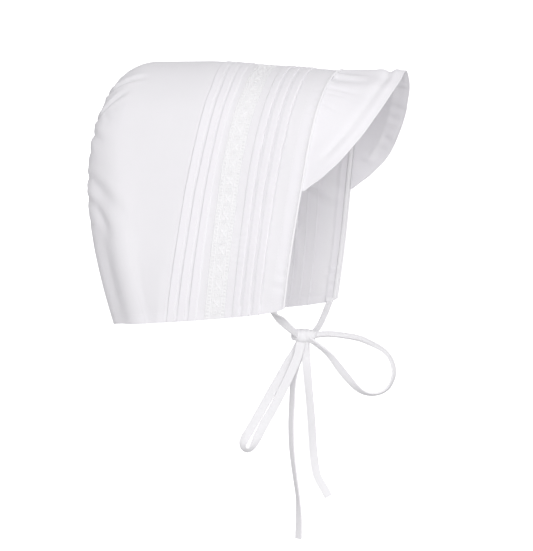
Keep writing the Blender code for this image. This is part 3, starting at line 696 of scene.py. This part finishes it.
STITCH_PITCH = 0.0021
STITCH_LENGTH = 0.0015
STITCH_RADIUS = 0.00009
HEM_SPANS = ((0.0012, 0.0131), (0.0326, 0.0362), (0.0496, 0.0525), (0.0732, 0.1580))   # between the tucks


def stitch_row(points, normals):
    """Vertices and quads of a row of stitches, half sunk into the cloth along a line."""
    lengths = lengths_along(points)
    places = np.arange(STITCH_PITCH / 2, lengths[-1], STITCH_PITCH)
    middle = read_at(places, lengths, points)
    ahead = unit(read_at(places, lengths, np.gradient(points, axis=0)))
    out = unit(read_at(places, lengths, normals))
    aside = np.cross(ahead, out)
    turns, around = np.linspace(0, pi, 5), full_turn(5)
    size = STITCH_RADIUS * (np.sin(turns) ** 0.5 + 0.05)[:, None]
    local = np.stack((np.broadcast_to(-np.cos(turns)[:, None] * STITCH_LENGTH / 2, (5, 5)),
                      size * np.cos(around), size * np.sin(around)), -1).reshape(-1, 3)
    ways = (ahead, aside, out)
    vertices = middle[:, None] + sum(local[None, :, k, None] * ways[k][:, None] for k in range(3))
    quads = tube_quads(5, 5, True) + np.arange(len(places))[:, None, None] * 25
    return vertices.reshape(-1, 3), quads.reshape(-1, 4)


def make_stitching(material):
    """The visible sewing: along the tucks, the face edge, the openwork strip, the back seam and the neck hem."""
    lines = []
    rows = [(FRONT_TUCKS_START + TUCK_WIDTH * 1.08 + k * TUCK_PITCH, 0.72) for k in range(TUCKS_IN_GROUP)]
    rows += [(BACK_TUCKS_START - TUCK_WIDTH * 1.27 + k * TUCK_PITCH, 0.72) for k in range(TUCKS_IN_GROUP)]
    rows += [(back, 0.0) for back in (0.0022, FACING_WIDTH, LACE_START - 0.0007,
                                      LACE_START + LACE_WIDTH + 0.0007, CROWN_LENGTH - 0.0012)]
    for back, height in rows:
        back = np.array([back])
        points, normals = on_crown(back, soft_waves, height * TUCK_HEIGHT * flutter(back[:, None]))
        lines.append((points[0], normals[0]))
    inset = round(HEM_WIDTH * 0.9 / (ARC[1] - ARC[0]))
    for start, stop in HEM_SPANS:
        span = np.linspace(start, stop, max(3, round((stop - start) / 0.001)))
        points, normals = on_crown(span, soft_waves, 0.0)
        lines += [(points[:, j], normals[:, j]) for j in (inset, len(ARC) - 1 - inset)]
    sewing = Parts()
    for points, normals in lines:
        sewing.add(*stitch_row(points, normals))
    vertices = np.concatenate(sewing.vertices)
    add_mesh("stitching", None, vertices, np.concatenate(sewing.quads), material, vertices[:, :2])


# Openwork strip, in metres from its own front edge. Its pattern is two ladders of bars beside a net with blossoms.
CORD_RADIUS = 0.00026
CORDS = (0.00025, 0.0024, 0.0094, 0.01155)
LADDERS = ((0.0005, 0.0023), (0.0095, 0.0113))
BAR_WIDTH = 0.00115
BAR_HEIGHT = 0.00045
BAR_PITCH = 0.00195
NET_START, NET_END = 0.0025, 0.0093
NET_COLUMNS = 6
NET_HOLE = 0.25   # radius, as a share of the mesh's pitch
NET_THICK = 0.00010
MOTIF_PITCH = 0.0094
RING_RADIUS, RING_THREAD = 0.00098, 0.00022
LEAF_REACH, LEAF_SIZE = 0.0024, (0.0018, 0.0012, 0.0005)
PETAL_REACH, PETAL_SIZE = (0.00125, 0.00145), (0.0027, 0.0015, 0.0006)
EYE_SIZE = (0.0012, 0.0012, 0.0007)
LOW, HIGH = 0.00002, 0.00004   # lift of threads that lie under others, and of those on top
GROUND_DEPTH = 0.00024   # how far the cloth beneath lies under the threads


class Parts:
    """Small parts of one mesh. Lace is laid flat, as back, along and lift, and bent to the crown when done."""

    def __init__(self):
        self.vertices, self.quads, self.count = [], [], 0

    def add(self, vertices, quads):
        self.vertices.append(np.asarray(vertices, float))
        self.quads.append(np.asarray(quads) + self.count)
        self.count += len(vertices)

    def rope(self, path, radius, sides=6):
        """A cord along a path."""
        self.add(*sweep(np.asarray(path, float), radius, sides, (0.0, 0.0, 1.0)))

    def lump(self, middle, size, turn, sides=8, rings=4):
        """A satin-stitched lump: half an egg of the given length, width and height, turned in the plane."""
        angles = np.linspace(0, pi, rings * 2 + 1)
        around = full_turn(sides)
        x = -np.cos(angles)[:, None] * size[0] / 2 + around * 0
        reach = np.sin(angles)[:, None] + 0.02
        y = reach * np.cos(around) * size[1] / 2
        z = reach * np.sin(around) * size[2] / 2
        along = np.stack((cos(turn) * x - sin(turn) * y, sin(turn) * x + cos(turn) * y, z), -1)
        self.add(along.reshape(-1, 3) + middle, tube_quads(rings * 2 + 1, sides))

    def ring(self, middle, radius, thread, count=16, sides=6):
        """A ring of thread round a hole."""
        turn = full_turn(count)
        around = full_turn(sides)
        reach = radius + thread * np.cos(around)[None, :]
        points = np.stack((reach * np.cos(turn)[:, None], reach * np.sin(turn)[:, None],
                           thread * np.sin(around)[None, :] + turn[:, None] * 0), -1)
        a = np.arange(count * sides).reshape(count, sides)
        b, d = np.roll(a, -1, 0), np.roll(a, -1, 1)
        quads = np.stack((a, b, np.roll(b, -1, 1), d), -1).reshape(-1, 4)
        self.add(points.reshape(-1, 3) + middle, quads)

    def mesh_cell(self, middle, pitch, hole):
        """One square of net with a round hole, as a plate."""
        turn = np.arange(8) * pi / 4
        circle = np.stack((np.cos(turn), np.sin(turn)), -1)
        square = circle / np.abs(circle).max(axis=1, keepdims=True) * pitch / 2
        layers = [np.insert(loop, 2, lift, axis=1)
                  for lift in (NET_THICK / 2, -NET_THICK / 2) for loop in (square, circle * hole)]
        k = np.arange(8)
        n = (k + 1) % 8
        quads = np.stack((k, n, n + 8, k + 8, k + 16, k + 24, n + 24, n + 16, k + 8, n + 8, n + 24, k + 24), -1)
        self.add(np.concatenate(layers) + middle, quads.reshape(-1, 4))

    def bent(self):
        """The parts on the crown: their points and, as cloth coordinates, where they lay flat."""
        flat = np.concatenate(self.vertices)
        backs = LACE_START + np.linspace(-0.001, LACE_WIDTH + 0.001, 30)
        points, normals = skin(backs)
        row = np.interp(flat[:, 0] + LACE_START, backs, np.arange(len(backs)))
        column = np.interp(flat[:, 1], ARC, np.arange(len(ARC)))
        i, j = np.minimum(row.astype(int), len(backs) - 2), np.minimum(column.astype(int), len(ARC) - 2)
        s, t = (row - i)[:, None], (column - j)[:, None]

        def read(grid):
            return ((grid[i, j] * (1 - t) + grid[i, j + 1] * t) * (1 - s)
                    + (grid[i + 1, j] * (1 - t) + grid[i + 1, j + 1] * t) * s)
        sink = -0.0001 + soft_waves(flat[:, 0] + LACE_START, flat[:, 1])
        return read(points) + unit(read(normals)) * (flat[:, 2] + sink)[:, None], flat[:, :2]


def make_ground(material):
    """The fine cloth that the lace is worked on, under its threads."""
    backs = np.linspace(LACE_START - 0.0001, LACE_START + LACE_WIDTH + 0.0001, 9)
    piece = crown_layer("lace_ground_cloth", "lace_insertion", backs, GROUND_DEPTH, CLOTH, material)


def make_lace(material):
    lace = Parts()
    end = ARC[-1]
    along = np.linspace(-end, end, 420)
    for cord in CORDS:
        wrap = 1 + 0.10 * np.sin(along / 0.0011 * 2 * pi)
        lace.rope(np.stack((along * 0 + cord, along, along * 0 + HIGH), -1), CORD_RADIUS * wrap)
    for start, stop in LADDERS:
        for place in np.arange(-end + BAR_PITCH / 2, end, BAR_PITCH):
            bar = (stop - start + 0.0006, BAR_WIDTH, BAR_HEIGHT)
            lace.lump(((start + stop) / 2, place, 0.0), bar, 0.0, 6, 3)
    pitch = (NET_END - NET_START) / NET_COLUMNS
    middle = (NET_START + NET_END) / 2
    count = int(2 * end / pitch)
    motifs = int(end / MOTIF_PITCH)
    eyelets = [(m + 0.5) * MOTIF_PITCH for m in range(-motifs - 1, motifs + 1) if abs(m + 0.5) * MOTIF_PITCH < end]
    for row in range(count):
        place = -end + (row + 0.5) * 2 * end / count
        in_eyelet = any(abs(place - eyelet) < pitch for eyelet in eyelets)
        for column in range(NET_COLUMNS):
            back = NET_START + (column + 0.5) * pitch
            if in_eyelet and abs(back - middle) < pitch:
                continue
            lace.mesh_cell((back, place, 0.0), pitch, pitch * NET_HOLE)
    for eyelet in eyelets:
        lace.ring((middle, eyelet, HIGH), RING_RADIUS, RING_THREAD)
        for side in (-1, 1):
            lace.lump((middle + side * LEAF_REACH, eyelet, LOW), LEAF_SIZE, pi / 2)
    for blossom in np.arange(-motifs, motifs + 1) * MOTIF_PITCH:
        for k in range(4):
            turn = pi / 4 + k * pi / 2
            petal = (middle + cos(turn) * PETAL_REACH[0], blossom + sin(turn) * PETAL_REACH[1], LOW)
            lace.lump(petal, PETAL_SIZE, turn)
        lace.lump((middle, blossom, HIGH), EYE_SIZE, 0.0)
    points, uvs = lace.bent()
    add_mesh("lace_openwork", "lace_insertion", points, np.concatenate(lace.quads), material, uvs)


def strap_section():
    """Outline of a folded, stitched strap: across and thickness, in metres."""
    across = np.array((-0.94, -0.80, -0.70, -0.60, -0.30, 0.0, 0.30, 0.62, 0.86, 0.95))
    groove = 0.16 * bell((across + 0.70) / 0.06)
    face = np.stack((across, 0.78 + 0.10 * (1 - across ** 2) - groove), -1)
    edge = np.array(((1.0, 0.35), (1.0, -0.35)))
    return np.concatenate((face, edge, face[::-1] * (1, -1), -edge)) * (TIE_WIDTH / 2, TIE_WALL / 2)


def add_strap(name, node, points, shapes, across, material):
    """A strap on the curve through points, each with a twist and a width."""
    joined = through([(*p, *shape) for p, shape in zip(points, shapes)])
    length = lengths_along(joined[:, :3])[-1]
    count = ceil(length / STRAP_STEP)
    path = evenly(joined, count)
    along = unit(np.gradient(path[:, :3], axis=0))
    section = strap_section()
    vertices, uvs = [], []
    for i, (station, direction) in enumerate(zip(path, along)):
        direction = Vector(direction)
        side = (across - direction * across.dot(direction)).normalized()
        side = np.array(Quaternion(direction, radians(station[3])) @ side)
        face = np.cross(side, np.array(direction))
        width = station[4]
        squeezed = width ** -SQUEEZE * (1 + 0.25 * (1 - width) * np.cos(section[:, :1] / TIE_WIDTH * 14))
        vertices.append(station[:3] + section[:, :1] * side * width + section[:, 1:] * face * squeezed)
        uvs.append(np.stack((section[:, 0], np.full(len(section), i * length / count)), -1))
    faces = capped_tube(count + 1, len(section))
    add_mesh(name, node, np.concatenate(vertices), faces, material, np.concatenate(uvs))


def bow_frame():
    """The knot's middle, and the directions along the bow, down it and out of it."""
    middle = Vector((0.0, FACE_TOP + FACE_LEAN + KNOT_SETBACK, NECK_FACE_Z - KNOT_DROP))
    along = Vector((sin(BOW_TURN), -cos(BOW_TURN), 0.0))
    return middle, along, Vector((0.0, 0.0, -1.0)), Vector((-cos(BOW_TURN), -sin(BOW_TURN), 0.0))


def make_strands(material):
    """The bow's two loops, which lie flat to it, and its two hanging ends."""
    middle, along, down, out = bow_frame()

    def placed(rows, reach, drop):
        return [middle + along * row[0] * reach + down * row[1] * drop + out * row[2] * TIE_WALL for row in rows]
    for name, (rows, reach, drop, before, after) in STRANDS.items():
        points = placed(before, KNOT_LENGTH, KNOT_HEIGHT) + placed(rows, reach, drop)
        points += placed(after, KNOT_LENGTH, KNOT_HEIGHT)
        shapes = [row[3:] for row in (rows[0], *rows, rows[-1])][:len(points)]
        add_strap(name + "_strap", name, points, shapes, out if after else along, material)


def sewn_on(side, above):
    """Middle of a tie on the inside of the crown's wall, a distance above the lower edge."""
    drop = 1 - above / FACE_HEIGHT
    y = FACE_TOP + FACE_LEAN * drop + TIE_SETBACK
    top = ridge_z(np.array(y))
    wall = Vector((side * float(arch_width(drop)) * HALF_WIDTH, y,
                   float(top + (neck_z(np.array(y)) - top) * drop)))
    return wall - Vector((side * (WALL + GAP * 2 + TIE_WALL / 2), 0.0, 0.0))


def make_ties(material):
    middle, along, down, out = bow_frame()
    for name, (rows, side, ahead, reach, rise) in TIE_ENDS.items():
        end = middle + Vector((side * KNOT_DEPTH * 0.38, 0.0, rise)) + along * reach
        forward = Vector((0.0, -ahead, 0.0))
        foot = sewn_on(side, 0.0) + forward
        points = [sewn_on(side, TIE_HIDDEN * share) + forward for share in (0.4, 0.2)]
        points += [foot.lerp(end, row[0]) + down * row[1] * TIE_SAG for row in rows]
        shapes = [(0, 0.95), (0, 0.95)] + [row[2:] for row in rows]
        add_strap(name + "_tie", name, points, shapes, Vector((0.0, -1.0, 0.0)), material)


# Grooves between the turns of the tied strap, as shares of half the knot's length and of its girth
KNOT_FOLDS = (
    # place, lean, width, depth
    (0.16, 0.10, 0.08, 0.13),
    (-0.42, -0.16, 0.08, 0.10),
    (0.62, 0.12, 0.07, 0.12),
    (-0.80, 0.10, 0.06, 0.10),
)


def make_knot(material):
    """The knot: the tie wrapped once round the bow, over the gathered straps."""
    middle, along, down, out = bow_frame()
    rings, sides = 28, 40
    vertices, uvs = [], []
    for i in range(1, rings):
        x, size = -cos(pi * i / rings), sin(pi * i / rings) ** 0.6
        for k, around in enumerate(full_turn(sides)):
            up, forth = (abs(way) ** 0.8 * np.sign(way) for way in (cos(around), sin(around)))
            fold = 1 - sum(depth * bell((x - place - lean * up) / width) for place, lean, width, depth in KNOT_FOLDS)
            girth = size * (fold + 0.02 * sin(3 * around + 4 * x))
            vertices.append(middle - down * KNOT_RISE + along * x * KNOT_LENGTH / 2
                            + down * up * girth * KNOT_HEIGHT / 2 + out * forth * girth * KNOT_DEPTH / 2)
            uvs.append((i * 0.0006, k * 0.0007))
    add_mesh("bow_knot_wrap", "bow_knot", vertices, capped_tube(rings - 1, sides), material, uvs)


THIN_REACH = 0.0008   # how far light goes inside thin cloth


def feed(node, inputs):
    """The node with its inputs, by name or number: constants, or outputs of other nodes."""
    for key, given in inputs.items():
        if isinstance(given, bpy.types.NodeSocket):
            node.id_data.links.new(given, node.inputs[key])
        else:
            node.inputs[key].default_value = given
    return node


def calc(nodes, operation, *inputs):
    """The output of a new Math node."""
    node = nodes.new("ShaderNodeMath")
    node.operation = operation
    return feed(node, dict(enumerate(inputs))).outputs[0]


def cloth_material(name, colour, weave_pitch, weave_depth, slub_depth, sheen, thin):
    """Woven white cotton: a plain weave, uneven threads, faint clouds of tone and a soft sheen."""
    material = bpy.data.materials.new(name)
    material.use_nodes = True
    nodes = material.node_tree.nodes
    cloth = nodes.new("ShaderNodeUVMap")
    cloth.uv_map = "cloth"

    def noise(stretch, detail):
        scaled = feed(nodes.new("ShaderNodeMapping"), {"Scale": stretch, "Vector": cloth.outputs["UV"]})
        texture = feed(nodes.new("ShaderNodeTexNoise"),
                       {"Scale": 1.0, "Detail": detail, "Vector": scaled.outputs["Vector"]})
        return texture.outputs["Fac"]

    split = feed(nodes.new("ShaderNodeSeparateXYZ"), {0: cloth.outputs["UV"]})
    warp, weft = (calc(nodes, "SINE", calc(nodes, "MULTIPLY", split.outputs[axis], pi / weave_pitch)) for axis in "XY")
    slubs = calc(nodes, "ADD", noise((900.0, 45.0, 1.0), 2.0), noise((45.0, 900.0, 1.0), 2.0))
    weave_bump = feed(nodes.new("ShaderNodeBump"), {
        "Distance": weave_depth, "Strength": 0.6, "Height": calc(nodes, "MULTIPLY", warp, weft)})
    slub_bump = feed(nodes.new("ShaderNodeBump"), {
        "Distance": slub_depth, "Strength": 0.6, "Height": slubs, "Normal": weave_bump.outputs["Normal"]})
    clouds = noise((60.0, 60.0, 1.0), 3.0)
    tone = nodes.new("ShaderNodeMix")
    tone.data_type = "RGBA"
    shade = calc(nodes, "ADD", calc(nodes, "MULTIPLY", clouds, 0.6), calc(nodes, "MULTIPLY", slubs, 0.2))
    feed(tone, {"A": (*colour, 1.0), "B": (*(c * 0.975 for c in colour), 1.0), "Factor": shade})
    feed(nodes["Principled BSDF"], {
        "Base Color": tone.outputs["Result"],
        "Roughness": calc(nodes, "ADD", calc(nodes, "MULTIPLY", clouds, 0.1), 0.78),
        "Metallic": 0.0,
        "Specular IOR Level": 0.2,
        "Sheen Weight": sheen,
        "Sheen Roughness": 0.5,
        "Subsurface Weight": thin,
        "Subsurface Radius": (1.0, 1.0, 1.0),
        "Subsurface Scale": THIN_REACH,
        "Normal": slub_bump.outputs["Normal"],
    })
    return material


def make_stage():
    """A pale floor below the hanging ties and a pale backdrop round everything, seen but casting no light."""
    white = bpy.data.materials.new("stage_white")
    white.use_nodes = True
    feed(white.node_tree.nodes["Principled BSDF"], {
        "Base Color": (0.9, 0.9, 0.9, 1.0), "Emission Color": (1.0, 1.0, 1.0, 1.0), "Emission Strength": 1.0})
    bpy.ops.mesh.primitive_plane_add(size=8.0, location=(0.0, 0.0, CAD_LOW.z - 0.03))
    floor = bpy.context.object
    floor.name = "floor"
    bpy.ops.mesh.primitive_uv_sphere_add(segments=48, ring_count=24, radius=6.0)
    backdrop = bpy.context.object
    backdrop.name = "backdrop"
    for piece in (floor, backdrop):
        piece.data.materials.append(white)
        piece.visible_diffuse = piece.visible_glossy = piece.visible_transmission = False
        piece.visible_shadow = False


def make_light():
    """An even studio: a dim white surround, a large soft light near the camera and a weaker one opposite."""
    world = bpy.data.worlds.new("studio")
    bpy.context.scene.world = world
    world.use_nodes = True
    nodes = world.node_tree.nodes
    way = nodes.new("ShaderNodeTexCoord").outputs["Generated"]
    toward = nodes.new("ShaderNodeVectorMath")
    toward.operation = "DOT_PRODUCT"
    feed(toward, {0: way, 1: TENT_WAY})
    split = feed(nodes.new("ShaderNodeSeparateXYZ"), {0: way})
    shares = []
    for output, span in ((toward.outputs["Value"], (-1.0, 1.0, *TENT)),
                         (split.outputs["Z"], (-0.9, -0.1, FLOOR_SHARE, 1.0))):
        ends = zip(("From Min", "From Max", "To Min", "To Max"), span)
        shares.append(feed(nodes.new("ShaderNodeMapRange"), {"Value": output, **dict(ends)}).outputs["Result"])
    feed(nodes["Background"], {"Color": (0.985, 0.975, 1.0, 1.0), "Strength": calc(nodes, "MULTIPLY", *shares)})
    for name, place, size, energy in LIGHTS:
        data = bpy.data.lights.new(name, "AREA")
        data.shape = "DISK"
        data.size = size
        data.energy = energy
        light = add_object(name, data)
        light.location = place
        light.rotation_mode = "QUATERNION"
        light.rotation_quaternion = (LIT_PLACE - light.location).to_track_quat("-Z", "Y")


TENT_WAY = (-0.82, -0.55, -0.08)   # where the surround is brightest
FLOOR_SHARE = 0.72   # and how much of that comes from straight below
TENT = (0.46, 0.80)   # its strength on the far side and there
LIT_PLACE = Vector((0.0, 0.0, -0.08))
LIGHTS = (
    # name, place, size, power
    ("key", (-1.45, -0.64, 0.20), 0.9, 9.6),
    ("fill", (1.40, -0.70, 0.50), 1.2, 3.5),
)


# Camera, from the photograph: which way it looks, how far off it is, and where the head seat lies in the picture
VIEW_TURN = radians(16.5)
VIEW_TILT = radians(2.5)
VIEW_DISTANCE = 1.7
PIXEL = 0.0006
PICTURE_WIDTH, PICTURE_HEIGHT = 533, 551
HEAD_SEAT_PIXEL = (215.0, 63.0)


def make_camera():
    look = Vector((cos(VIEW_TURN) * cos(VIEW_TILT), sin(VIEW_TURN) * cos(VIEW_TILT), -sin(VIEW_TILT)))
    right = Vector((sin(VIEW_TURN), -cos(VIEW_TURN), 0.0))
    up = right.cross(look)
    aside = (PICTURE_WIDTH / 2 - HEAD_SEAT_PIXEL[0]) * PIXEL
    below = (PICTURE_HEIGHT / 2 - HEAD_SEAT_PIXEL[1]) * PIXEL
    data = bpy.data.cameras.new("camera")
    data.sensor_fit = "HORIZONTAL"
    data.sensor_width = 36.0
    data.lens = 36.0 * VIEW_DISTANCE / (PICTURE_WIDTH * PIXEL)
    data.clip_start, data.clip_end = 0.05, 50.0
    camera = add_object("camera", data)
    camera.matrix_world = Matrix.Translation(right * aside - up * below - look * VIEW_DISTANCE) @ Matrix(
        (right, up, -look)).transposed().to_4x4()
    bpy.context.scene.camera = camera


def main():
    batiste = cloth_material("batiste_cotton", (0.905, 0.895, 0.915), 0.00028, 0.00004, 0.00006, 0.08, 0.5)
    ties = cloth_material("tie_cotton", (0.925, 0.92, 0.93), 0.00028, 0.00004, 0.00006, 0.08, 0.4)
    ground = cloth_material("lace_batiste", (0.955, 0.953, 0.958), 0.00022, 0.00005, 0.00003, 0.05, 0.4)
    corded = cloth_material("corded_cotton", (0.955, 0.95, 0.96), 0.00028, 0.00003, 0.00004, 0.08, 0.0)
    thread = cloth_material("lace_thread", (0.97, 0.968, 0.972), 0.00022, 0.00005, 0.00003, 0.05, 0.0)
    make_front_band(batiste)
    make_crown_rear(batiste)
    make_back(batiste)
    make_brim(batiste)
    make_piping(corded)
    make_binding(ties)
    make_ground(ground)
    make_lace(thread)
    make_stitching(thread)
    make_ties(ties)
    make_strands(ties)
    make_knot(ties)
    make_stage()
    make_light()
    make_camera()
    bpy.context.scene.view_settings.view_transform = "Standard"


main()
